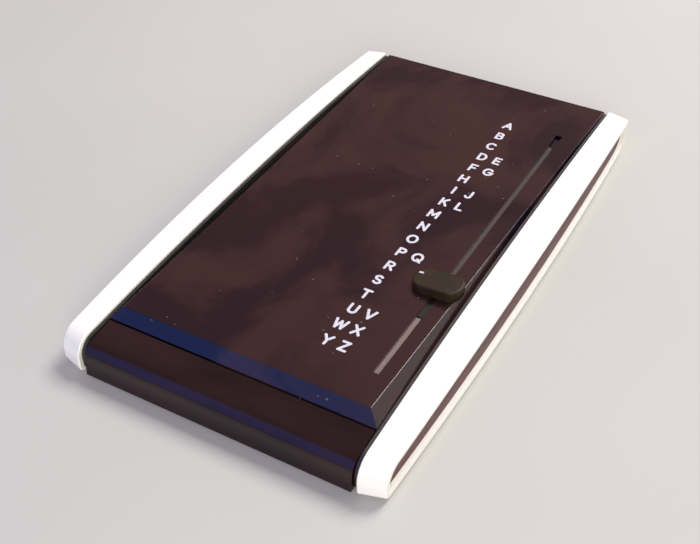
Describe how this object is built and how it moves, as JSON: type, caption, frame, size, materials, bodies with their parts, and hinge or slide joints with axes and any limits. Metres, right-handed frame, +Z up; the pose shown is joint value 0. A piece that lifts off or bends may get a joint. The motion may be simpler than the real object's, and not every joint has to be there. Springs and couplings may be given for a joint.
{
  "type": "pop-up card index",
  "caption": "Flat desk-top list finder: a sprung lid with a lettered slide opens at the chosen index leaf, between two bowed side rails, over a release bar.",
  "frame": {"origin": "on the surface it stands on, under the middle of the object", "axes": "+X to the right of a user at the release bar, +Y from the release bar towards the hinge, +Z up"},
  "size_m": [0.1188, 0.1999, 0.02],
  "materials": {
    "rail_white": "gloss white moulded plastic",
    "panel_mauve": "satin mauve-brown plastic",
    "lid_brown": "polished dark brown plastic",
    "bar_brown": "polished dark brown plastic",
    "tray_black": "matt black-brown plastic",
    "rubber": "matt rubber",
    "steel": "plated steel",
    "spring_steel": "bright spring wire",
    "strip_pale": "pale worn strip",
    "knob_black": "satin black plastic",
    "mark_white": "white filled mark",
    "plate_black": "black plate",
    "leaf_card": "smooth index card"
  },
  "bodies": {
    "base": {"base_tray": "tray_black", "left_side_rail": "rail_white", "right_side_rail": "rail_white", "left_side_panel": "panel_mauve", "right_side_panel": "panel_mauve", "rubber_feet": "rubber", "rail_screws": "steel", "hinge_rod": "steel", "release_bar_rod": "steel", "left_lid_spring": "spring_steel", "right_lid_spring": "spring_steel", "left_release_spring": "spring_steel", "right_release_spring": "spring_steel", "left_binding_ring": "spring_steel", "middle_binding_ring": "spring_steel", "right_binding_ring": "spring_steel", "index_leaf_r": "leaf_card", "index_leaf_s": "leaf_card", "index_leaf_t": "leaf_card", "index_leaf_uv": "leaf_card", "index_leaf_wx": "leaf_card", "index_leaf_yz": "leaf_card"},
    "lid": {"lid": "lid_brown", "guide_strip": "strip_pale"},
    "selector": {"selector_knob": "knob_black", "pointer_mark": "mark_white", "slide_plate": "plate_black", "slide_plate_screw": "steel"},
    "release_bar": {"release_bar": "bar_brown"},
    "raised_leaves": {"index_leaf_a": "leaf_card", "index_leaf_b": "leaf_card", "index_leaf_c": "leaf_card", "index_leaf_de": "leaf_card", "index_leaf_fg": "leaf_card", "index_leaf_h": "leaf_card", "index_leaf_ij": "leaf_card", "index_leaf_kl": "leaf_card", "index_leaf_m": "leaf_card", "index_leaf_n": "leaf_card", "index_leaf_o": "leaf_card", "index_leaf_pq": "leaf_card"}
  },
  "joints": [
    {"name": "lid_hinge", "type": "hinge", "parent": "base", "child": "lid", "pos_m": [0, 0.0935, 0.0073], "axis": [-1, 0, 0], "range_deg": [0, 45]},
    {"name": "selector_slide", "type": "slide", "parent": "lid", "child": "selector", "axis": [0, 0.9998, -0.0181], "range_m": [-0.04006, 0.09614]},
    {"name": "release_rock", "type": "hinge", "parent": "base", "child": "release_bar", "pos_m": [0, -0.0915, 0.004], "axis": [1, 0, 0], "range_deg": [0, 6], "stiffness_Nm_per_rad": 0.5, "springref_deg": -5.73, "deforming": ["left_release_spring", "right_release_spring"]},
    {"name": "leaves_hinge", "type": "hinge", "parent": "base", "child": "raised_leaves", "pos_m": [0, 0.0935, 0.0073], "axis": [-1, 0, 0], "range_deg": [0, 45]}
  ],
  "couplings": [
    {"joint": "leaves_hinge", "follows": "lid_hinge", "ratio": 1}
  ]
}
